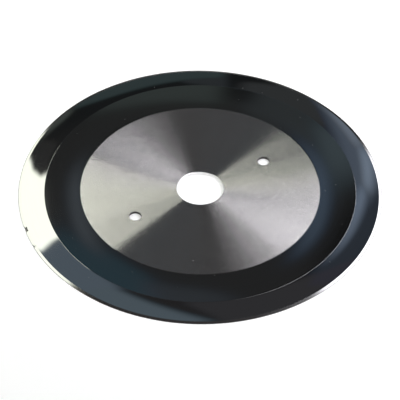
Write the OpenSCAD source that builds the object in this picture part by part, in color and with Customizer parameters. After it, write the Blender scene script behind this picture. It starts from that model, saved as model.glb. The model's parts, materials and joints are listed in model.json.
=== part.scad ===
// Circular slitter knife, single bevel, one turned and ground piece of tool steel.
// It lies on its flat back at z = 0 with the bevelled side up. The bore axis is Z
// and the drive-pin holes start on +X. All sizes are millimetres and degrees.

/* [Disc] */
// Diameter over the cutting edge
outer_d = 250; // [210:1:400]
// Thickness of the ground body
thickness = 2; // [1.4:0.1:6]

/* [Arbor bore] */
// Diameter of the bore that seats on the arbor
bore_d = 32; // [20:0.5:70]
// Chamfer at both ends of the bore
bore_chamfer = 0.3; // [0.1:0.05:0.5]

/* [Drive pins] */
// Number of drive-pin holes
pin_count = 2; // [2:1:6]
// Diameter of each drive-pin hole
pin_d = 8; // [5:0.5:14]
// Pitch circle of the drive-pin holes
pin_pcd = 104; // [64:1:144]
// Chamfer at both ends of each drive-pin hole
pin_chamfer = 0.35; // [0.1:0.05:0.5]

/* [Cutting rim] */
// Radial width of the polished relief ring round the ground face
relief_w = 25; // [10:0.5:40]
// Height that the relief ring loses on its way out
relief_drop = 0.2; // [0.05:0.05:0.4]
// Radial width of the main bevel
bevel_w = 16; // [8:0.5:24]
// Radial width of the honed cutting bevel
edge_w = 2; // [0.5:0.1:4]
// Angle of the honed cutting bevel to the flat back
edge_angle = 18; // [10:1:24]
// Height of the land that honing leaves at the very edge
edge_land = 0.05; // [0.02:0.01:0.1]

/* [Hidden] */
$fn = 180;

// How far a cutter runs past the face it opens
overcut = 1;

bore_r = bore_d / 2;
pin_r = pin_d / 2;

// The zones of the rim, from the cutting edge inwards
outer_r = outer_d / 2;
edge_r = outer_r - edge_w;
bevel_r = edge_r - bevel_w;
face_r = bevel_r - relief_w;

// Their heights above the flat back: the main bevel takes up what the relief
// and the cutting bevel leave of the thickness
edge_z = edge_land + edge_w * tan(edge_angle);
bevel_z = thickness - relief_drop;

steel = [0.56, 0.57, 0.58];

// Half section of the disc, from the bore out along the back and in over the bevels
module disc_section() {
    polygon([
        [bore_r + bore_chamfer, 0],
        [outer_r, 0],
        [outer_r, edge_land],
        [edge_r, edge_z],
        [bevel_r, bevel_z],
        [face_r, thickness],
        [bore_r + bore_chamfer, thickness],
        [bore_r, thickness - bore_chamfer],
        [bore_r, bore_chamfer]
    ]);
}

// Half section of one drive-pin hole with its two chamfers, run out past both faces
module pin_hole_section() {
    mouth_r = pin_r + pin_chamfer + overcut;
    polygon([
        [0, -overcut],
        [mouth_r, -overcut],
        [pin_r, pin_chamfer],
        [pin_r, thickness - pin_chamfer],
        [mouth_r, thickness + overcut],
        [0, thickness + overcut]
    ]);
}

// The drive-pin holes, evenly spaced on their pitch circle
module pin_holes() {
    for (i = [0 : pin_count - 1])
        rotate([0, 0, i * 360 / pin_count])
            translate([pin_pcd / 2, 0, 0])
                rotate_extrude()
                    pin_hole_section();
}

module slitter_knife() {
    color(steel)
        difference() {
            rotate_extrude()
                disc_section();
            pin_holes();
        }
}

slitter_knife();
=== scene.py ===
"""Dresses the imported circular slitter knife: a lathe-built disc with its ground, polished and honed finishes,
and the plain studio it lies in. Lengths are metres, angles are radians unless a name says degrees."""

import json
import math

import bpy
from bpy.props import FloatProperty, FloatVectorProperty, IntProperty, PointerProperty
from bpy.types import Operator, Panel, PropertyGroup
from mathutils import Matrix, Vector


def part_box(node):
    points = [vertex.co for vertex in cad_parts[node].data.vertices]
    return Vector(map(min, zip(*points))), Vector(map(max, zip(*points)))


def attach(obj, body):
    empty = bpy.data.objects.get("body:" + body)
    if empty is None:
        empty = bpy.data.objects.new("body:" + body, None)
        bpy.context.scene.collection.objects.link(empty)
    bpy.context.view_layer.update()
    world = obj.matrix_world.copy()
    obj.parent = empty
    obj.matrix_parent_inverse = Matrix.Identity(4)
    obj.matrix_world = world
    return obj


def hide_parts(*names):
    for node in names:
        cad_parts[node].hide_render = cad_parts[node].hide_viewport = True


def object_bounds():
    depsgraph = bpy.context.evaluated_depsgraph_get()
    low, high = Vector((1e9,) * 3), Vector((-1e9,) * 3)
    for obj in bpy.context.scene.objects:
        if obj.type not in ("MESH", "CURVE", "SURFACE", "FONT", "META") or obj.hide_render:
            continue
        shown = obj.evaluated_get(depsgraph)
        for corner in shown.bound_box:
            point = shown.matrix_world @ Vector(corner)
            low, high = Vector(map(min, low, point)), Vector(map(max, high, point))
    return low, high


bl_info = {
    "name": "Circular slitter knife",
    "version": (1, 0, 0),
    "blender": (4, 5, 0),
    "location": "View3D > Sidebar > Slitter knife",
    "description": "Builds a circular slitter knife with its finishes, and a studio for it",
    "category": "Object",
}

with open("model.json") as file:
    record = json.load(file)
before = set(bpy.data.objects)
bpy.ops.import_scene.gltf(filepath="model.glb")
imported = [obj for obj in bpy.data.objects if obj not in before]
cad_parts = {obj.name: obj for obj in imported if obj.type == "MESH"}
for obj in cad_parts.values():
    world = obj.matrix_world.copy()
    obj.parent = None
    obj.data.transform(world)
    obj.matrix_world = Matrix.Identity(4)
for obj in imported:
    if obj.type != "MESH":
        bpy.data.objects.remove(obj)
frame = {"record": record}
CAD_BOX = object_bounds()

NODE = "slitter_knife"
MM = 0.001
MOUNT_SIZES = {mount["name"]: mount["dims"] for mount in frame["record"]["mounts"]}
BORE, PIN_HOLES = MOUNT_SIZES["arbor_bore"], MOUNT_SIZES["drive_pin_holes"]
LOW, HIGH = (Vector(corner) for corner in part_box(NODE))
FACE_CENTRE = Vector((0.0, 0.0, HIGH.z))

# Where two zones of the disc meet, an odd step between their numbers makes a sharp edge and an even one a
# smooth blend. A flat zone is shaded row by row, so its own edges stay sharp too.
ZONES = {
    "back": 0,
    "bore_chamfer": 1,
    "bore_wall": 2,
    "front": 4,
    "relief": 5,
    "face_edge": 6,
    "bevel": 7,
    "cutting": 8,
    "land": 9,
    # The worn line along the rim is real wear, coloured dark as painted shade along the rim
    "worn_and_shaded_edge": 10,
    "pin_chamfer": 11,
    "pin_wall": 12,
    "crease": 13,
}
FLAT_ZONES = ("face_edge", "crease", "worn_and_shaded_edge")
# Zone numbers that differ by less than this are the same
SAME_ZONE = 0.25

# Nicks in the cutting edge: place round the knife in degrees, then length, depth and the chipped face's width
NICKS = ((166.5, 8.0 * MM, 0.4 * MM, 0.9 * MM), (174.4, 4.0 * MM, 0.2 * MM, 0.6 * MM))

# Points of the turned mesh that lie closer than this are one point
WELD = 0.002 * MM
# Share of its drop by which the broken edge round the ground face bulges
FACE_EDGE_ROUNDING = 0.25
# Noise lies mostly between these values
NOISE_LOW, NOISE_HIGH = 0.25, 0.75
# Share of itself by which the roughness of worked steel varies
ROUGHNESS_SPREAD = 0.2
# The grain's noise is scaled so far down that each ray meets a tilt of its own
GRAIN_SCALE = 1000.0 / MM
DUST_ROUGHNESS = 0.6

FLOOR_SIZE = 16.0
# The floor lies just under the knife's flat back, so that the two faces don't fight
FLOOR_GAP = 0.02 * MM
SENSOR_WIDTH_MM = 36.0


def length(label, words, default):
    """A property that holds a length in metres."""
    return FloatProperty(name=label, description=words, default=default, min=0.0, unit="LENGTH", precision=5)


def colour(label, words, default):
    """A property that holds a linear colour."""
    return FloatVectorProperty(
        name=label, description=words, default=default, subtype="COLOR", min=0.0, max=1.0
    )


def share(label, words, default):
    """A property that holds a number from 0 to 1."""
    return FloatProperty(name=label, description=words, default=default, min=0.0, max=1.0, subtype="FACTOR")


def angle(label, words, degrees):
    """A property that holds an angle, with its default in degrees."""
    return FloatProperty(name=label, description=words, default=math.radians(degrees), subtype="ANGLE")


def count(label, words, default, least):
    """A property that holds a whole number."""
    return IntProperty(name=label, description=words, default=default, min=least, subtype="UNSIGNED")


class KnifeSizes(PropertyGroup):
    """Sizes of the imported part, and of the fine edges, crowns and wear that it leaves out."""

    outer_diameter: length("Outer diameter", "Diameter over the cutting edge", round(HIGH.x - LOW.x, 3))
    thickness: length("Thickness", "Thickness of the ground body", HIGH.z - LOW.z)
    bore_diameter: length("Bore diameter", "Bore that seats on the arbor", 2 * BORE["r_mm"] * MM)
    bore_chamfer: length("Bore chamfer", "Chamfer at both ends of the bore", 0.3 * MM)
    pin_count: count("Pin holes", "Number of drive-pin holes", PIN_HOLES["count"], least=1)
    pin_diameter: length("Pin diameter", "Diameter of each drive-pin hole", 2 * PIN_HOLES["hole_r_mm"] * MM)
    pin_circle: length("Pin circle", "Pitch circle of the drive-pin holes", PIN_HOLES["pcd_mm"] * MM)
    pin_chamfer: length("Pin chamfer", "Chamfer at both ends of each drive-pin hole", 0.35 * MM)
    relief_width: length("Relief width", "Radial width of the polished relief ring", 25 * MM)
    relief_drop: length("Relief drop", "Height that the relief ring loses on its way out", 0.2 * MM)
    relief_crown: length("Relief crown", "How far polishing left the relief ring bulging", 0.05 * MM)
    bevel_width: length("Bevel width", "Radial width of the main bevel", 16 * MM)
    bevel_crown: length("Bevel crown", "How far polishing left the main bevel bulging", 0.06 * MM)
    crease_width: length("Crease width", "Width of the ridge between the relief ring and the bevel", 0.3 * MM)
    crease_crown: length("Crease crown", "How far that ridge bulges", 0.0185 * MM)
    face_edge_width: length("Face edge width", "Width of the broken edge round the ground face", 0.35 * MM)
    face_edge_drop: length("Face edge drop", "Height that the broken edge loses", 0.065 * MM)
    worn_width: length("Worn width", "Width of the worn line along the cutting edge", 0.25 * MM)
    worn_crown: length("Worn crown", "How far wear has rounded that line", 0.02 * MM)
    edge_width: length("Edge width", "Radial width of the honed cutting bevel", 2 * MM)
    edge_angle: angle("Edge angle", "Angle of the honed cutting bevel to the flat back", 18)
    edge_land: length("Edge land", "Height of the land at the very edge", 0.05 * MM)
    segments: count("Segments", "Steps round the disc", 1440, least=24)
    pin_segments: count("Pin segments", "Steps round each drive-pin hole", 96, least=12)


class KnifeFinish(PropertyGroup):
    """Colours and finishes of the steel."""

    ground_colour: colour("Ground steel", "Colour of the circular ground faces", (0.65, 0.63, 0.624))
    ground_roughness: share("Ground roughness", "Roughness of the circular ground faces", 0.21)
    ground_grain: share("Ground grain", "Slope by which unseen grain tips the ground faces in and out", 0.44)
    ground_lean: share("Ground lean", "Slope by which that grain leans inwards on the whole", 0.027)
    ground_metal: share("Ground metal", "How far the ground faces are metal rather than matt", 0.98)
    ring_colour: colour("Relief steel", "Colour of the polished relief ring", (0.40, 0.405, 0.41))
    ring_roughness: share("Relief roughness", "Roughness of the polished relief ring", 0.06)
    bevel_colour: colour("Bevel steel", "Colour of the polished main bevel", (0.41, 0.41, 0.41))
    bevel_roughness: share("Bevel roughness", "Roughness of the polished main bevel", 0.04)
    edge_colour: colour("Honed steel", "Colour of the honed cutting bevel", (0.41, 0.41, 0.41))
    edge_roughness: share("Edge roughness", "Roughness of the honed cutting bevel", 0.16)
    # The worn line's dark colour is painted shade along the rim, laid over its real wear; the nicks' chipped
    # faces show it too
    worn_colour: colour("Worn and shaded steel", "Colour of the worn line along the edge", (0.2, 0.195, 0.19))
    worn_roughness: share("Worn roughness", "Roughness of the worn line along the edge", 0.6)
    worn_metal: share("Worn metal", "How far the worn line is metal rather than matt", 0.3)
    dust_colour: colour("Dust", "Colour of the dust specks", (0.3, 0.3, 0.3))
    bore_colour: colour("Bored steel", "Colour of the ground bore", (0.9, 0.9, 0.9))
    bore_roughness: share("Bore roughness", "Roughness of the ground bore", 0.35)
    scale_colour: colour("Hardening scale", "Colour of the scale in the pin holes", (0.045, 0.043, 0.042))
    scale_roughness: share("Scale roughness", "Roughness of the scale in the pin holes", 0.5)


class StudioSetup(PropertyGroup):
    """The view and the plain studio."""

    view_azimuth: angle("View azimuth", "Where the camera stands round the knife, from -Y", -32.5)
    view_elevation: angle("View elevation", "Height of the camera above the horizon", 44.08)
    view_roll: angle("View roll", "Turn of the camera about its own axis", 0.707)
    view_distance: length("View distance", "From the camera to the ground face", 1525.4 * MM)
    aim_offset: length("Aim offset", "How far short of the bore the camera aims", 11.8 * MM)
    lens: FloatProperty(
        name="Lens", description="Focal length on a 36 mm sensor", default=199.6, min=1.0, unit="CAMERA"
    )
    floor_colour: colour("Floor", "Colour of the floor", (0.86, 0.86, 0.86))
    floor_lift: share("Floor lift", "Light that the floor adds to reach white", 0.4)


def feed(tree, socket, value):
    """Links a socket to another one, or sets its own value."""
    if isinstance(value, bpy.types.NodeSocket):
        tree.links.new(value, socket)
    else:
        socket.default_value = value


def add(tree, kind, feeds=None, **settings):
    """A new node with its settings and its inputs fed by name or number."""
    node = tree.nodes.new(kind)
    for name, value in settings.items():
        setattr(node, name, value)
    for key, value in (feeds or {}).items():
        feed(tree, node.inputs[key], value)
    return node


def calc(tree, operation, *values):
    """The result of one Math node."""
    return add(tree, "ShaderNodeMath", dict(enumerate(values)), operation=operation).outputs[0]


def vector_calc(tree, operation, *values, output="Vector"):
    """The result of one Vector Math node."""
    return add(tree, "ShaderNodeVectorMath", dict(enumerate(values)), operation=operation).outputs[output]


def scaled(tree, vector, factor):
    """A vector times a number."""
    node = add(tree, "ShaderNodeVectorMath", {0: vector, "Scale": factor}, operation="SCALE")
    return node.outputs["Vector"]


def between(tree, value, low, high, start=0.0, end=1.0, steps="LINEAR"):
    """A value mapped from low..high to start..end."""
    feeds = {"Value": value, "From Min": low, "From Max": high, "To Min": start, "To Max": end}
    return add(tree, "ShaderNodeMapRange", feeds, interpolation_type=steps).outputs["Result"]


def radial(tree, place):
    """How far a point lies from the Z axis, and its direction from there."""
    flat = vector_calc(tree, "MULTIPLY", place, (1.0, 1.0, 0.0))
    return vector_calc(tree, "LENGTH", flat, output="Value"), vector_calc(tree, "NORMALIZE", flat)


def polar(tree, radius, turn, height=0.0):
    """A point at a radius and a turn about Z, and at a height."""
    feeds = {
        "X": calc(tree, "MULTIPLY", radius, calc(tree, "COSINE", turn)),
        "Y": calc(tree, "MULTIPLY", radius, calc(tree, "SINE", turn)),
        "Z": height,
    }
    return add(tree, "ShaderNodeCombineXYZ", feeds).outputs["Vector"]


def new_group(name, kind, inputs, outputs):
    """An empty node group with its named sockets, and the sockets that its group input gives."""
    tree = bpy.data.node_groups.new(name, kind)
    for label, socket_type in inputs:
        tree.interface.new_socket(label, in_out="INPUT", socket_type=socket_type)
    for label, socket_type in outputs:
        tree.interface.new_socket(label, in_out="OUTPUT", socket_type=socket_type)
    given = tree.nodes.new("NodeGroupInput").outputs
    return tree, given


def give(tree, **results):
    """Feeds the group output, with _ for a space in a name."""
    output = tree.nodes.new("NodeGroupOutput")
    for label, value in results.items():
        feed(tree, output.inputs[label.replace("_", " ")], value)


def turned_zone_group():
    """A node group that turns one straight or crowned stretch of the half section about Z."""
    number, whole = "NodeSocketFloat", "NodeSocketInt"
    tree, given = new_group(
        "Turned zone",
        "GeometryNodeTree",
        [
            ("Start radius", number),
            ("Start height", number),
            ("End radius", number),
            ("End height", number),
            ("Crown", number),
            ("Rows", whole),
            ("Segments", whole),
            ("Zone", number),
        ],
        [("Mesh", "NodeSocketGeometry")],
    )
    around_count = calc(tree, "ADD", given["Segments"], 1)
    grid = add(
        tree,
        "GeometryNodeMeshGrid",
        {"Size X": 1.0, "Size Y": 1.0, "Vertices X": given["Rows"], "Vertices Y": around_count},
    )
    place = add(tree, "ShaderNodeSeparateXYZ", {0: tree.nodes.new("GeometryNodeInputPosition").outputs[0]})
    along = calc(tree, "ADD", place.outputs["X"], 0.5)
    turn = calc(tree, "MULTIPLY", calc(tree, "ADD", place.outputs["Y"], 0.5), 2 * math.pi)
    radius = between(tree, along, 0.0, 1.0, given["Start radius"], given["End radius"])
    straight = between(tree, along, 0.0, 1.0, given["Start height"], given["End height"])
    bulge = calc(tree, "MULTIPLY", calc(tree, "MULTIPLY", along, calc(tree, "SUBTRACT", 1.0, along)), 4.0)
    height = calc(tree, "MULTIPLY_ADD", bulge, given["Crown"], straight)
    feeds = {"Geometry": grid.outputs["Mesh"], "Position": polar(tree, radius, turn, height)}
    turned = add(tree, "GeometryNodeSetPosition", feeds).outputs["Geometry"]
    give(tree, Mesh=mark_zone(tree, turned, given["Zone"]))
    return tree


def mark_zone(tree, geometry, zone):
    """Writes the zone's number on each face."""
    return add(
        tree,
        "GeometryNodeStoreNamedAttribute",
        {"Geometry": geometry, "Name": "zone", "Value": zone},
        data_type="FLOAT",
        domain="FACE",
    ).outputs["Geometry"]


SOCKET_KINDS = {"FLOAT": "NodeSocketFloat", "INT": "NodeSocketInt"}


def size_inputs(sizes):
    """Label, socket type and value of each size, for the inputs of the knife's node tree."""
    rows = []
    for name in KnifeSizes.__annotations__:
        size = sizes.bl_rna.properties[name]
        rows.append((size.name, SOCKET_KINDS[size.type], getattr(sizes, name)))
    return rows


# Which zones each finish covers
FINISH_ZONES = {
    "Ground steel": ("back", "front"),
    "Polished relief": ("relief", "face_edge"),
    "Polished bevel": ("bevel", "crease"),
    "Honed edge": ("cutting",),
    # This finish darkens the rim's worn line and land as painted shade, and covers the pin chamfers too
    "Worn and shaded edge": ("worn_and_shaded_edge", "land", "pin_chamfer"),
    "Ground bore": ("bore_chamfer", "bore_wall"),
    "Scaled hole": ("pin_wall",),
}


def nicked(tree, geometry, inner, worn, outer):
    """Pushes the rim inwards at the nicks. The worn line is pushed furthest, which opens a chipped face."""
    place = tree.nodes.new("GeometryNodeInputPosition").outputs[0]
    radius, outward = radial(tree, place)
    at_edge = between(tree, radius, inner, worn)
    at_worn = calc(tree, "MULTIPLY", at_edge, between(tree, radius, worn, outer, 1.0, 0.0))
    push = 0.0
    for turn, long, deep, chip in NICKS:
        ahead = (math.cos(math.radians(turn)), math.sin(math.radians(turn)), 0.0)
        aside = (-ahead[1], ahead[0], 0.0)
        sideways = vector_calc(tree, "DOT_PRODUCT", place, aside, output="Value")
        forward = vector_calc(tree, "DOT_PRODUCT", place, ahead, output="Value")
        bearing = calc(tree, "ARCTAN2", sideways, forward)
        away = calc(tree, "MULTIPLY", calc(tree, "ABSOLUTE", bearing), outer)
        near = between(tree, away, 0.0, long / 2, 1.0, 0.0, steps="SMOOTHERSTEP")
        reach = calc(tree, "MULTIPLY_ADD", at_worn, chip, calc(tree, "MULTIPLY", at_edge, deep))
        push = calc(tree, "MULTIPLY_ADD", near, reach, push)
    inward = scaled(tree, outward, calc(tree, "MULTIPLY", push, -1.0))
    return add(tree, "GeometryNodeSetPosition", {"Geometry": geometry, "Offset": inward}).outputs["Geometry"]


def knife_tree(size_sockets):
    """The node tree that turns the whole knife from its sizes."""
    inputs = size_sockets + [(label, "NodeSocketMaterial") for label in FINISH_ZONES]
    tree, given = new_group("Slitter knife", "GeometryNodeTree", inputs, [("Geometry", "NodeSocketGeometry")])
    zone_group = turned_zone_group()
    thickness = given["Thickness"]

    def plus(a, b):
        return calc(tree, "ADD", a, b)

    def minus(a, b):
        return calc(tree, "SUBTRACT", a, b)

    def times(a, b):
        return calc(tree, "MULTIPLY", a, b)

    def turned(start, end, zone, rows=2, crown=0.0, segments=given["Segments"]):
        feeds = {
            "Start radius": start[0],
            "Start height": start[1],
            "End radius": end[0],
            "End height": end[1],
            "Crown": crown,
            "Rows": rows,
            "Segments": segments,
            "Zone": float(ZONES[zone]),
        }
        return add(tree, "GeometryNodeGroup", feeds, node_tree=zone_group).outputs["Mesh"]

    def hole_zones(name, radius, chamfer, segments):
        mouth_r, top = plus(radius, chamfer), minus(thickness, chamfer)
        return [
            turned((mouth_r, 0.0), (radius, chamfer), name + "_chamfer", segments=segments),
            turned((radius, chamfer), (radius, top), name + "_wall", segments=segments),
            turned((radius, top), (mouth_r, thickness), name + "_chamfer", segments=segments),
        ]

    def circle(radius, segments):
        feeds = {"Resolution": segments, "Radius": radius}
        return add(tree, "GeometryNodeCurvePrimitiveCircle", feeds, mode="RADIUS").outputs["Curve"]

    def join(pieces):
        node = tree.nodes.new("GeometryNodeJoinGeometry")
        for piece in reversed(pieces):
            tree.links.new(piece, node.inputs[0])
        return node.outputs[0]

    outer_r = times(given["Outer diameter"], 0.5)
    bore_r = times(given["Bore diameter"], 0.5)
    pin_r = times(given["Pin diameter"], 0.5)
    edge_r = minus(outer_r, given["Edge width"])
    bevel_r = minus(edge_r, given["Bevel width"])
    face_r = minus(bevel_r, given["Relief width"])
    edge_slope = calc(tree, "TANGENT", given["Edge angle"])
    edge_z = plus(given["Edge land"], times(given["Edge width"], edge_slope))
    bevel_z = minus(thickness, given["Relief drop"])

    # The crease between the two polished rings is a narrow ridge, and the ground face has a broken edge
    half_crease = times(given["Crease width"], 0.5)
    relief_slope = calc(tree, "DIVIDE", given["Relief drop"], given["Relief width"])
    bevel_slope = calc(tree, "DIVIDE", minus(bevel_z, edge_z), given["Bevel width"])
    crease_in = (minus(bevel_r, half_crease), plus(bevel_z, times(half_crease, relief_slope)))
    crease_out = (plus(bevel_r, half_crease), minus(bevel_z, times(half_crease, bevel_slope)))
    face_out = (plus(face_r, given["Face edge width"]), minus(thickness, given["Face edge drop"]))
    face_edge_crown = times(given["Face edge drop"], FACE_EDGE_ROUNDING)
    worn_rise = times(given["Worn width"], edge_slope)
    worn_in = (minus(outer_r, given["Worn width"]), plus(given["Edge land"], worn_rise))
    rim = (outer_r, given["Edge land"])

    parts = hole_zones("bore", bore_r, given["Bore chamfer"], given["Segments"])
    parts += [
        turned((face_r, thickness), face_out, "face_edge", rows=4, crown=face_edge_crown),
        turned(face_out, crease_in, "relief", rows=9, crown=given["Relief crown"]),
        turned(crease_in, crease_out, "crease", rows=7, crown=given["Crease crown"]),
        turned(crease_out, (edge_r, edge_z), "bevel", rows=9, crown=given["Bevel crown"]),
        turned((edge_r, edge_z), worn_in, "cutting"),
        turned(worn_in, rim, "worn_and_shaded_edge", rows=4, crown=given["Worn crown"]),
        turned(rim, (outer_r, 0.0), "land"),
    ]

    # One drive-pin hole, copied to its places on the pitch circle
    around = given["Pin segments"]
    hole = join(hole_zones("pin", pin_r, given["Pin chamfer"], around))
    row = add(tree, "GeometryNodeMeshLine", {"Count": given["Pin holes"]}).outputs["Mesh"]
    index = tree.nodes.new("GeometryNodeInputIndex").outputs[0]
    turn = times(calc(tree, "DIVIDE", index, given["Pin holes"]), 2 * math.pi)
    spot = polar(tree, times(given["Pin circle"], 0.5), turn)
    places = add(tree, "GeometryNodeSetPosition", {"Geometry": row, "Position": spot}).outputs["Geometry"]

    def copied(piece):
        return add(tree, "GeometryNodeInstanceOnPoints", {"Points": places, "Instance": piece}).outputs[0]

    parts.append(copied(hole))
    mouths = copied(circle(plus(pin_r, given["Pin chamfer"]), around))
    mouths = add(tree, "GeometryNodeRealizeInstances", {"Geometry": mouths}).outputs[0]

    # The two flat faces, with the bore and the drive-pin holes left open in them
    bore_mouth = circle(plus(bore_r, given["Bore chamfer"]), given["Segments"])
    for zone, rim_r in (("front", face_r), ("back", outer_r)):
        outline = join([circle(rim_r, given["Segments"]), bore_mouth, mouths])
        face = add(tree, "GeometryNodeFillCurve", {"Curve": outline}, mode="TRIANGLES").outputs["Mesh"]
        if zone == "front":
            rise = add(tree, "ShaderNodeCombineXYZ", {"Z": thickness}).outputs[0]
            face = add(tree, "GeometryNodeSetPosition", {"Geometry": face, "Offset": rise}).outputs[0]
        else:
            face = add(tree, "GeometryNodeFlipFaces", {"Mesh": face}).outputs["Mesh"]
        parts.append(mark_zone(tree, face, float(ZONES[zone])))

    knife = add(tree, "GeometryNodeRealizeInstances", {"Geometry": join(parts)}).outputs[0]
    knife = add(tree, "GeometryNodeMergeByDistance", {"Geometry": knife, "Distance": WELD}).outputs[0]
    knife = nicked(tree, knife, edge_r, worn_in[0], outer_r)
    mark = add(tree, "GeometryNodeInputNamedAttribute", {"Name": "zone"}, data_type="FLOAT").outputs[0]

    def shaded(geometry, smooth, domain, **selection):
        feeds = {"Geometry": geometry, "Shade Smooth": smooth} | selection
        return add(tree, "GeometryNodeSetShadeSmooth", feeds, domain=domain).outputs[0]

    def any_zone(names):
        chosen = 0.0
        for name in names:
            is_zone = calc(tree, "COMPARE", mark, float(ZONES[name]), SAME_ZONE)
            chosen = calc(tree, "MAXIMUM", chosen, is_zone)
        return chosen

    # An edge takes the mean of the numbers of the two zones that meet there
    odd_step = calc(tree, "COMPARE", calc(tree, "FRACT", mark), 0.5, SAME_ZONE)
    knife = shaded(knife, True, "FACE")
    knife = shaded(knife, False, "EDGE", Selection=odd_step)
    knife = shaded(knife, False, "FACE", Selection=any_zone(FLAT_ZONES))
    for label, names in FINISH_ZONES.items():
        feeds = {"Geometry": knife, "Selection": any_zone(names), "Material": given[label]}
        knife = add(tree, "GeometryNodeSetMaterial", feeds).outputs[0]
    give(tree, Geometry=knife)
    return tree


def place_on_knife(tree):
    """The shaded point in the knife's own coordinates."""
    return add(tree, "ShaderNodeTexCoord").outputs["Object"]


def lathe_lines_group():
    """A shader group for a tool's marks round the axis: fine lines that run out and start again."""
    number = "NodeSocketFloat"
    tree, given = new_group(
        "Lathe lines",
        "ShaderNodeTree",
        [("Spacing", number), ("Runs", number), ("Detail", number)],
        [("Lines", number), ("Outward", "NodeSocketVector")],
    )
    radius, outward = radial(tree, place_on_knife(tree))
    across = add(tree, "ShaderNodeCombineXYZ", {"Z": calc(tree, "DIVIDE", radius, given["Spacing"])})
    point = vector_calc(tree, "ADD", scaled(tree, outward, given["Runs"]), across.outputs["Vector"])
    feeds = {"Vector": point, "Scale": 1.0, "Detail": given["Detail"], "Roughness": 0.6}
    give(tree, Lines=add(tree, "ShaderNodeTexNoise", feeds).outputs["Fac"], Outward=outward)
    return tree


def steel(name, base, roughness, anisotropic=0.0):
    """A metal material with its shader's constant values set, and its node tree and shader."""
    material = bpy.data.materials.new(name)
    material.use_nodes = True
    tree = material.node_tree
    shader = tree.nodes["Principled BSDF"]
    shader.inputs["Metallic"].default_value = 1.0
    shader.inputs["Base Color"].default_value = (*base, 1.0)
    shader.inputs["Roughness"].default_value = roughness
    shader.inputs["Anisotropic"].default_value = anisotropic
    return material, tree, shader


def lathe_lines(tree, group, spacing, runs, detail):
    """The outputs of one Lathe lines node."""
    feeds = {"Spacing": spacing, "Runs": runs, "Detail": detail}
    return add(tree, "ShaderNodeGroup", feeds, node_tree=group).outputs


def mixed(tree, amount, first, second):
    """One colour running into another."""
    return add(tree, "ShaderNodeMix", {0: amount, 6: first, 7: second}, data_type="RGBA").outputs[2]


def toned(tree, base, amount, lines):
    """A colour that varies by a share of itself with the lines."""
    dark = (*(part * (1 - amount) for part in base), 1.0)
    light = (*(min(1.0, part * (1 + amount)) for part in base), 1.0)
    return mixed(tree, lines, dark, light)


def glossed(tree, roughness, amount, lines):
    """A roughness that varies by a share of itself with the lines."""
    return between(tree, lines, NOISE_LOW, NOISE_HIGH, roughness * (1 - amount), roughness * (1 + amount))


def vary(tree, shader, base, roughness, lines, amount):
    """Lets the shader's colour vary by a share of itself with the lines, and its roughness as well."""
    feed(tree, shader.inputs["Base Color"], toned(tree, base, amount, lines))
    feed(tree, shader.inputs["Roughness"], glossed(tree, roughness, ROUGHNESS_SPREAD, lines))


def grain(tree, shader, outward, slope, lean):
    """Tips the surface in and out along the radius at random, as a grain too fine to see does."""
    fine = scaled(tree, place_on_knife(tree), GRAIN_SCALE)
    draw = add(tree, "ShaderNodeTexWhiteNoise", {"Vector": fine}).outputs["Value"]
    tilt = calc(tree, "MULTIPLY_ADD", draw, 2 * slope, -slope - lean)
    upright = add(tree, "ShaderNodeNewGeometry").outputs["Normal"]
    tipped = vector_calc(tree, "ADD", upright, scaled(tree, outward, tilt))
    feed(tree, shader.inputs["Normal"], vector_calc(tree, "NORMALIZE", tipped))


def dust_specks(tree, cell, smallest, largest, kept):
    """Specks of dust in a share of the cells of a loose grid: 1 on a speck and 0 beside it."""
    feeds = {"Vector": place_on_knife(tree), "Scale": 1.0 / cell}
    cells = add(tree, "ShaderNodeTexVoronoi", feeds, voronoi_dimensions="2D")
    draw = add(tree, "ShaderNodeSeparateColor", {0: cells.outputs["Color"]})
    reach = between(tree, draw.outputs["Green"], 0.0, 1.0, smallest / cell, largest / cell)
    speck = calc(tree, "LESS_THAN", cells.outputs["Distance"], reach)
    return calc(tree, "MULTIPLY", speck, calc(tree, "LESS_THAN", draw.outputs["Red"], kept))


def settle_dust(tree, shader, specks, clean, gloss, dust):
    """Lays dust specks over a clean colour and roughness."""
    feed(tree, shader.inputs["Base Color"], mixed(tree, specks, clean, (*dust, 1.0)))
    feed(tree, shader.inputs["Roughness"], between(tree, specks, 0.0, 1.0, gloss, DUST_ROUGHNESS))


def ground_steel(group, finish):
    """The flat faces: ground round the axis, so light spreads outward from the bore in a bow tie."""
    base, roughness = tuple(finish.ground_colour), finish.ground_roughness
    material, tree, shader = steel("Ground steel", base, roughness, anisotropic=1.0)
    coarse = lathe_lines(tree, group, spacing=1.6 * MM, runs=1.5, detail=3.0)
    specks = dust_specks(tree, cell=14 * MM, smallest=0.12 * MM, largest=0.3 * MM, kept=0.1)
    clean = toned(tree, base, amount=0.06, lines=coarse["Lines"])
    gloss = glossed(tree, roughness, amount=0.04, lines=coarse["Lines"])
    settle_dust(tree, shader, specks, clean, gloss, finish.dust_colour)
    feed(tree, shader.inputs["Metallic"], between(tree, specks, 0.0, 1.0, finish.ground_metal, 0.0))
    grain(tree, shader, coarse["Outward"], finish.ground_grain, finish.ground_lean)
    feed(tree, shader.inputs["Tangent"], coarse["Outward"])
    return material


def polished_steel(name, group, base, roughness, dust):
    """The polished rings: near mirrors, with faint traces of the polishing wheel and a little dust."""
    material, tree, shader = steel(name, base, roughness)
    lines = lathe_lines(tree, group, spacing=0.8 * MM, runs=3.0, detail=4.0)
    specks = dust_specks(tree, cell=9 * MM, smallest=0.1 * MM, largest=0.25 * MM, kept=0.07)
    clean = toned(tree, base, amount=0.03, lines=lines["Lines"])
    gloss = glossed(tree, roughness, ROUGHNESS_SPREAD, lines["Lines"])
    settle_dust(tree, shader, specks, clean, gloss, dust)
    return material


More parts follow.
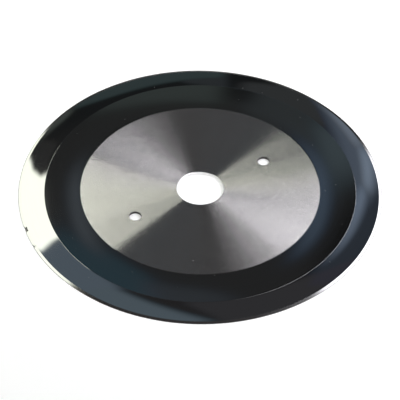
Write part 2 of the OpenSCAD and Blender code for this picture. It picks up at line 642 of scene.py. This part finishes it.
def honed_steel(group, finish):
    """The cutting bevel: fresh honing marks along the edge."""
    base, roughness = tuple(finish.edge_colour), finish.edge_roughness
    material, tree, shader = steel("Honed edge", base, roughness, anisotropic=0.6)
    lines = lathe_lines(tree, group, spacing=0.2 * MM, runs=8.0, detail=2.0)
    vary(tree, shader, base, roughness, lines["Lines"], amount=0.08)
    feed(tree, shader.inputs["Tangent"], lines["Outward"])
    return material


def blotches(tree, spacing):
    """Soft patches all over a surface, from 0 to 1."""
    feeds = {"Vector": place_on_knife(tree), "Scale": 1.0 / spacing, "Detail": 3.0}
    return add(tree, "ShaderNodeTexNoise", feeds).outputs["Fac"]


def worn_and_shaded_steel(finish):
    """The worn line along the cutting edge: dulled, darker in places, and dark all along as painted shade on
    the rim.
    """
    base, roughness = tuple(finish.worn_colour), finish.worn_roughness
    material, tree, shader = steel("Worn and shaded edge", base, roughness)
    shader.inputs["Metallic"].default_value = finish.worn_metal
    vary(tree, shader, base, roughness, blotches(tree, spacing=4 * MM), amount=0.3)
    return material


def ground_bore(group, finish):
    """The wall and chamfers of the bore, ground bright."""
    base, roughness = tuple(finish.bore_colour), finish.bore_roughness
    material, tree, shader = steel("Ground bore", base, roughness)
    lines = lathe_lines(tree, group, spacing=0.15 * MM, runs=6.0, detail=2.0)
    vary(tree, shader, base, roughness, lines["Lines"], amount=0.1)
    return material


def scaled_hole(finish):
    """The drive-pin holes, which keep the dark scale of hardening."""
    base, roughness = tuple(finish.scale_colour), finish.scale_roughness
    material, tree, shader = steel("Scaled hole", base, roughness)
    vary(tree, shader, base, roughness, blotches(tree, spacing=1 * MM), amount=0.4)
    return material


class SLITTER_OT_knife(Operator):
    """Turn the knife from its sizes and give each zone its finish"""

    bl_idname = "slitter.knife"
    bl_label = "Build the knife"

    def execute(self, context):
        sizes, finish = context.scene.slitter_sizes, context.scene.slitter_finish
        group = lathe_lines_group()
        finishes = {
            "Ground steel": ground_steel(group, finish),
            "Polished relief": polished_steel(
                "Polished relief", group, finish.ring_colour, finish.ring_roughness, finish.dust_colour
            ),
            "Polished bevel": polished_steel(
                "Polished bevel", group, finish.bevel_colour, finish.bevel_roughness, finish.dust_colour
            ),
            "Honed edge": honed_steel(group, finish),
            "Worn and shaded edge": worn_and_shaded_steel(finish),
            "Ground bore": ground_bore(group, finish),
            "Scaled hole": scaled_hole(finish),
        }
        size_rows = size_inputs(sizes)
        tree = knife_tree([(label, kind) for label, kind, _ in size_rows])
        knife = bpy.data.objects.new("knife_disc", bpy.data.meshes.new("knife_blank"))
        context.scene.collection.objects.link(knife)
        modifier = knife.modifiers.new("Turning", "NODES")
        modifier.node_group = tree
        values = {label: value for label, _, value in size_rows} | finishes
        for socket in tree.interface.items_tree:
            if socket.in_out == "INPUT" and socket.name in values:
                modifier[socket.identifier] = values[socket.name]
        knife.update_tag()
        context.view_layer.update()
        evaluated = knife.evaluated_get(context.evaluated_depsgraph_get())
        mesh = bpy.data.meshes.new_from_object(evaluated)
        mesh.name = "knife_disc"
        knife.modifiers.remove(modifier)
        knife.data = mesh
        if not mesh.polygons:
            raise RuntimeError("the knife's node tree gave no faces")
        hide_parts(NODE)
        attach(knife, "root")
        return {"FINISHED"}


def direction(azimuth_deg, elevation_deg):
    """Unit vector to a point of the studio: azimuth from straight ahead of the camera to its right."""
    azimuth, elevation = math.radians(azimuth_deg), math.radians(elevation_deg)
    level = math.cos(elevation)
    return Vector((level * math.sin(azimuth), level * math.cos(azimuth), math.sin(elevation)))


# The light of the two boxes on the right, which fades out upwards between two elevations in degrees
RIGHT_LIGHT = dict(softness=3.0, fade=(53.0, 80.0), colour=(0.96, 0.955, 1.0), strength=4.2)

# The three soft boxes that stand near the knife: the direction that each one's plane faces it from, the
# distance of that plane in metres, the convex outlines that together make the lit shape, as (azimuth,
# elevation) in degrees as the bore sees them, the softness of their edges in degrees, colour and strength
SOFT_BOXES = {
    "left_box": dict(
        facing=(-30, 58),
        distance=0.51,
        outlines=(
            ((-29.6, 10.4), (-36.9, 49.45), (-40.2, 58.7), (-50.7, 59.2), (-82.0, 54.3), (-110.0, 34.0)),
            ((-29.6, 10.4), (-27.1, 33.5), (-27.5, 37.0), (-29.2, 48.35), (-36.1, 49.5), (-45.0, 30.0)),
            ((-27.7, 37.0), (-26.45, 38.6), (-26.3, 48.35), (-32.0, 48.35), (-32.0, 37.0)),
            ((-29.0, 38.7), (-24.2, 38.75), (-24.2, 44.0), (-28.0, 48.55), (-32.0, 47.9), (-32.0, 40.0)),
        ),
        softness=0.55,
        colour=(0.97, 1.0, 0.875),
        strength=2.55,
    ),
    "right_box": dict(
        facing=(76, 30),
        distance=0.6,
        outlines=(
            ((31.0, 15.4), (34.0, 36.0), (37.2, 48.0), (42.0, 60.0), (122.0, 29.5)),
            ((84.0, 32.1), (84.0, 58.0), (116.0, 56.5), (153.7, 18.1)),
        ),
        **RIGHT_LIGHT,
    ),
    "upper_box": dict(
        facing=(48, 66),
        distance=0.6,
        outlines=(((42.0, 60.0), (30.0, 72.0), (30.0, 84.0), (64.0, 82.0), (64.0, 59.77)),),
        **RIGHT_LIGHT,
    ),
}

# Light of the bare room by the sine of the elevation, from the pale horizon up
ROOM_LEVELS = (
    (0.0, (0.5, 0.5, 0.5)),
    (0.04, (0.3, 0.3, 0.3)),
    (0.12, (0.05, 0.051, 0.052)),
    (0.5, (0.016, 0.018, 0.019)),
    (0.6, (0.018, 0.020, 0.021)),
    (0.67, (0.036, 0.037, 0.036)),
    (0.82, (0.035, 0.034, 0.035)),
    (1.0, (0.07, 0.067, 0.068)),
)

# Dim parts of the room that the polished rings mirror, far off: outline and softness as above, and brightness
ROOM_GLOWS = {
    # Where the relief ring looks
    "teal_wall": dict(
        outline=[(-7.5, 45.4), (-4.0, 45.2), (-1.8, 46.2), (-1, 50), (-7, 50)],
        softness=0.6,
        light=(0.0433, 0.0779, 0.097),
    ),
    "blue_corner": dict(
        outline=[(4.0, 44.2), (7.8, 43.2), (7.2, 40.4), (4.4, 41)],
        softness=1.0,
        light=(0.0944, 0.124, 0.138),
    ),
    "corner_spill": dict(
        outline=[(1.0, 42.2), (1.9, 42.8), (5.0, 43.0), (5.0, 38.6), (2.9, 38.6)],
        softness=0.5,
        light=(0.056, 0.0637, 0.066),
    ),
    "blue_streak": dict(
        outline=[(3.2, 42.6), (3.6, 46.2), (4.9, 45.6), (5.1, 43.2)],
        softness=0.6,
        light=(0.108, 0.151, 0.21),
    ),
    "pale_streak": dict(
        outline=[(-5.2, 43.4), (-3.6, 43.4), (-3.6, 46.2), (-5.2, 46.0)],
        softness=0.7,
        light=(0.114, 0.131, 0.146),
    ),
    "grey_wall": dict(
        outline=[(-5.6, 40.8), (0.8, 42), (1.2, 39), (-4.5, 39)],
        softness=0.5,
        light=(0.07, 0.0838, 0.0792),
    ),
    "upper_wall": dict(
        outline=[(-3, 46.6), (0.8, 47.2), (3, 49), (0, 50.5), (-4, 50)],
        softness=0.7,
        light=(0.06, 0.068, 0.077),
    ),
    # Further out, where the bevel looks
    "upper_left": dict(
        outline=[(-9.5, 50.8), (2.8, 57.4), (-4, 62), (-17, 58), (-17, 50)],
        softness=0.8,
        light=(0.15, 0.196, 0.232),
    ),
    "left": dict(
        outline=[(-17, 48.4), (-10, 46.8), (-6.6, 52.4), (-17, 55)],
        softness=0.8,
        light=(0.153, 0.197, 0.242),
    ),
    "ceiling": dict(
        outline=[(-3, 52.6), (4, 58.5), (18, 57), (18, 47), (10, 50)],
        softness=1.0,
        light=(0.0612, 0.0612, 0.066),
    ),
    "right": dict(
        outline=[(10.6, 50), (12, 49), (13.4, 46), (13.6, 42), (11.2, 42), (10.6, 46)],
        softness=1.5,
        light=(0.32, 0.405, 0.54),
    ),
    "right_foot": dict(
        outline=[(12.2, 43.2), (14.4, 43), (15, 40.5), (14, 38), (11.5, 37.4), (11.3, 40)],
        softness=1.5,
        light=(0.34, 0.42, 0.54),
    ),
    "right_heel": dict(
        outline=[(11.6, 39.4), (13.4, 38.6), (12.6, 36), (9.6, 33), (7.8, 32.6), (8.6, 35.4)],
        softness=1.5,
        light=(0.29, 0.345, 0.43),
    ),
    "right_spill": dict(
        outline=[(9.5, 46), (14.4, 44.5), (15.6, 40), (13.5, 34), (8, 33), (8.4, 40)],
        softness=1.8,
        light=(0.135, 0.17, 0.225),
    ),
    "right_wall": dict(
        outline=[(9, 53), (18, 53), (18, 36), (10, 34)],
        softness=1.5,
        light=(0.05, 0.062, 0.08),
    ),
    "low_right": dict(
        outline=[(2, 36.8), (2.6, 33.4), (8, 31.5), (11.5, 35), (9, 38.5)],
        softness=0.8,
        light=(0.0586, 0.0637, 0.066),
    ),
    "low_left": dict(
        outline=[(-14, 37.2), (-6, 35.4), (1.5, 35.6), (1.8, 30), (-13, 30)],
        softness=0.6,
        light=(0.0612, 0.0865, 0.0891),
    ),
    "low_middle": dict(
        outline=[(-1.5, 34.6), (1.8, 36.2), (2, 30), (-1.5, 30)],
        softness=0.6,
        light=(0.047, 0.054, 0.059),
    ),
    "far_left": dict(
        outline=[(-17, 40.5), (-9.4, 36), (-9, 30), (-17, 30)],
        softness=0.6,
        light=(0.105, 0.12, 0.112),
    ),
    "left_foot": dict(
        outline=[(-15, 40), (-11, 43), (-9.6, 39.3), (-12.5, 37.3)],
        softness=0.6,
        light=(0.0459, 0.0471, 0.0459),
    ),
}

# Darker parts of the same room: outline and softness as above, and the share of the light that is lost there
ROOM_SHADES = {
    "right_corner": dict(
        outline=[(5.0, 47), (8.2, 46.5), (8.2, 43.6), (6.2, 44.2)],
        softness=0.8,
        loss=0.6,
    ),
    "doorway": dict(
        outline=[(0.9, 41.2), (2.0, 41.2), (2.4, 39), (1.2, 39)],
        softness=0.4,
        loss=0.45,
    ),
}


def inside_outline(tree, ray, outline, softness):
    """How far a direction lies inside an outline of great circles, from 0 to 1 with soft edges."""
    corners = [direction(*corner) for corner in outline]
    middle = sum(corners, Vector()).normalized()
    soft = math.radians(softness)
    inside = 1.0
    for first, second in zip(corners, corners[1:] + corners[:1]):
        edge = first.cross(second).normalized()
        if edge.dot(middle) < 0:
            edge.negate()
        past = vector_calc(tree, "DOT_PRODUCT", ray, tuple(edge), output="Value")
        inside = calc(tree, "MULTIPLY", inside, between(tree, past, -soft, soft, steps="SMOOTHSTEP"))
    return inside


def turned_back(tree, ray, azimuth):
    """A direction of the scene as the view's own azimuth sees it."""
    feeds = {"Vector": ray, "Angle": -azimuth}
    return add(tree, "ShaderNodeVectorRotate", feeds, rotation_type="Z_AXIS").outputs["Vector"]


def studio_world(azimuth):
    """A dark room with a pale horizon and dim glows."""
    world = bpy.data.worlds.new("studio")
    world.use_nodes = True
    tree = world.node_tree
    background = tree.nodes["Background"]
    ray = turned_back(tree, add(tree, "ShaderNodeTexCoord").outputs["Generated"], azimuth)
    height = add(tree, "ShaderNodeSeparateXYZ", {0: ray}).outputs["Z"]
    room = add(tree, "ShaderNodeValToRGB", {"Fac": height})
    stops = room.color_ramp.elements
    # A new ramp has a stop at each end
    stops.remove(stops[1])
    first, *rest = ROOM_LEVELS
    stops[0].position, stops[0].color = first[0], (*first[1], 1.0)
    for position, level in rest:
        stops.new(position).color = (*level, 1.0)
    light = room.outputs["Color"]
    for glow in ROOM_GLOWS.values():
        inside = inside_outline(tree, ray, glow["outline"], glow["softness"])
        light = vector_calc(tree, "MAXIMUM", light, scaled(tree, glow["light"], inside))
    for shade in ROOM_SHADES.values():
        inside = inside_outline(tree, ray, shade["outline"], shade["softness"])
        kept = calc(tree, "MULTIPLY_ADD", inside, -shade["loss"], 1.0)
        light = scaled(tree, light, kept)
    feed(tree, background.inputs["Color"], light)
    return world


def soft_box(name, box, azimuth):
    """An area lamp behind a soft-edged outline, near enough that the knife's two sides see it differently."""
    margin = math.tan(math.radians(box["softness"]))
    normal = direction(*box["facing"])
    across = Vector((0.0, 0.0, 1.0)).cross(normal).normalized()
    upward = normal.cross(across)
    rays = [direction(*corner) for outline in box["outlines"] for corner in outline]
    corners = [ray * box["distance"] / ray.dot(normal) for ray in rays]
    edge = margin * max(corner.length for corner in corners)
    spans = []
    for axis in (across, upward):
        reach = [corner.dot(axis) for corner in corners]
        spans.append((min(reach) - edge, max(reach) + edge))
    middle = normal * box["distance"] + across * sum(spans[0]) / 2 + upward * sum(spans[1]) / 2
    turn = Matrix.Rotation(azimuth, 4, "Z")
    place = Matrix.Translation(middle) @ Matrix((across, upward, normal)).transposed().to_4x4()

    lamp = bpy.data.lights.new(name, "AREA")
    lamp.shape = "RECTANGLE"
    lamp.size, lamp.size_y = (high - low for low, high in spans)
    # Pi times the area makes the strength below the brightness that a mirror shows
    lamp.energy = math.pi * lamp.size * lamp.size_y
    lamp.use_nodes = True
    tree = lamp.node_tree
    spot = tree.nodes.new("ShaderNodeNewGeometry").outputs["Position"]
    ray = vector_calc(tree, "NORMALIZE", vector_calc(tree, "SUBTRACT", spot, tuple(FACE_CENTRE)))
    ray = turned_back(tree, ray, azimuth)
    inside = 0.0
    for outline in box["outlines"]:
        outside = calc(tree, "SUBTRACT", 1.0, inside)
        here = inside_outline(tree, ray, outline, box["softness"])
        inside = calc(tree, "MULTIPLY_ADD", here, outside, inside)
    if "fade" in box:
        elevation = calc(tree, "ARCSINE", add(tree, "ShaderNodeSeparateXYZ", {0: ray}).outputs["Z"])
        full, none = (math.radians(degrees) for degrees in box["fade"])
        inside = calc(tree, "MULTIPLY", inside, between(tree, elevation, full, none, 1.0, 0.0))
    emission = tree.nodes["Emission"]
    emission.inputs["Color"].default_value = (*box["colour"], 1.0)
    feed(tree, emission.inputs["Strength"], calc(tree, "MULTIPLY", inside, box["strength"]))
    lamp_object = bpy.data.objects.new(name, lamp)
    lamp_object.matrix_world = Matrix.Translation(FACE_CENTRE) @ turn @ place
    lamp_object.visible_camera = False
    return lamp_object


def pale_floor(studio):
    """A plain pale floor that keeps the knife's shadow and reaches white where nothing shades it."""
    material = bpy.data.materials.new("Pale floor")
    material.use_nodes = True
    tree = material.node_tree
    tree.nodes.remove(tree.nodes["Principled BSDF"])
    output = tree.nodes["Material Output"]
    lit = add(tree, "ShaderNodeBsdfDiffuse", {"Color": (*studio.floor_colour, 1.0)})
    path = add(tree, "ShaderNodeLightPath").outputs
    seen = calc(tree, "MAXIMUM", path["Is Camera Ray"], path["Is Glossy Ray"])
    seen = calc(tree, "MAXIMUM", seen, path["Is Transmission Ray"])
    lift = add(tree, "ShaderNodeEmission", {"Strength": calc(tree, "MULTIPLY", seen, studio.floor_lift)})
    both = add(tree, "ShaderNodeAddShader", {0: lit.outputs[0], 1: lift.outputs[0]})
    feed(tree, output.inputs["Surface"], both.outputs[0])
    half = FLOOR_SIZE / 2
    mesh = bpy.data.meshes.new("floor")
    corners = [(-half, -half, 0), (half, -half, 0), (half, half, 0), (-half, half, 0)]
    mesh.from_pydata(corners, [], [(0, 1, 2, 3)])
    mesh.materials.append(material)
    floor = bpy.data.objects.new("floor", mesh)
    floor.location.z = CAD_BOX[0][2] - FLOOR_GAP
    return floor


class SLITTER_OT_stage(Operator):
    """Lay the floor, light the studio and place the camera"""

    bl_idname = "slitter.stage"
    bl_label = "Set the stage"

    def execute(self, context):
        scene, studio = context.scene, context.scene.slitter_studio
        floor = pale_floor(studio)
        scene.collection.objects.link(floor)
        scene.world = studio_world(studio.view_azimuth)
        for name, box in SOFT_BOXES.items():
            scene.collection.objects.link(soft_box(name, box, studio.view_azimuth))
        scene.view_settings.view_transform = "Standard"

        lens = bpy.data.cameras.new("view")
        lens.sensor_width = SENSOR_WIDTH_MM
        lens.lens = studio.lens
        camera = bpy.data.objects.new("view", lens)
        turn = Matrix.Rotation(studio.view_azimuth, 3, "Z")
        back = turn @ -direction(0.0, -math.degrees(studio.view_elevation))
        camera.location = FACE_CENTRE + back * studio.view_distance
        aim = FACE_CENTRE + turn @ Vector((0.0, -studio.aim_offset, 0.0))
        facing = (aim - camera.location).to_track_quat("-Z", "Y")
        camera.rotation_mode = "QUATERNION"
        camera.rotation_quaternion = facing @ Matrix.Rotation(studio.view_roll, 3, "Z").to_quaternion()
        scene.collection.objects.link(camera)
        scene.camera = camera
        return {"FINISHED"}


class SLITTER_PT_sidebar(Panel):
    """Sizes, finishes and stage of the knife"""

    bl_idname = "SLITTER_PT_sidebar"
    bl_label = "Slitter knife"
    bl_space_type = "VIEW_3D"
    bl_region_type = "UI"
    bl_category = "Slitter knife"

    def draw(self, context):
        layout, scene = self.layout, context.scene
        for title, group in (
            ("Sizes", scene.slitter_sizes),
            ("Finish", scene.slitter_finish),
            ("Studio", scene.slitter_studio),
        ):
            column = layout.box().column()
            column.label(text=title)
            for name in group.__annotations__:
                column.prop(group, name)
        layout.operator(SLITTER_OT_knife.bl_idname)
        layout.operator(SLITTER_OT_stage.bl_idname)


CLASSES = (KnifeSizes, KnifeFinish, StudioSetup, SLITTER_OT_knife, SLITTER_OT_stage, SLITTER_PT_sidebar)


def register():
    for cls in CLASSES:
        bpy.utils.register_class(cls)
    bpy.types.Scene.slitter_sizes = PointerProperty(type=KnifeSizes)
    bpy.types.Scene.slitter_finish = PointerProperty(type=KnifeFinish)
    bpy.types.Scene.slitter_studio = PointerProperty(type=StudioSetup)


def unregister():
    del bpy.types.Scene.slitter_studio
    del bpy.types.Scene.slitter_finish
    del bpy.types.Scene.slitter_sizes
    for cls in reversed(CLASSES):
        bpy.utils.unregister_class(cls)


def main():
    register()
    bpy.ops.slitter.knife()
    bpy.ops.slitter.stage()


if __name__ == "__main__":
    main()
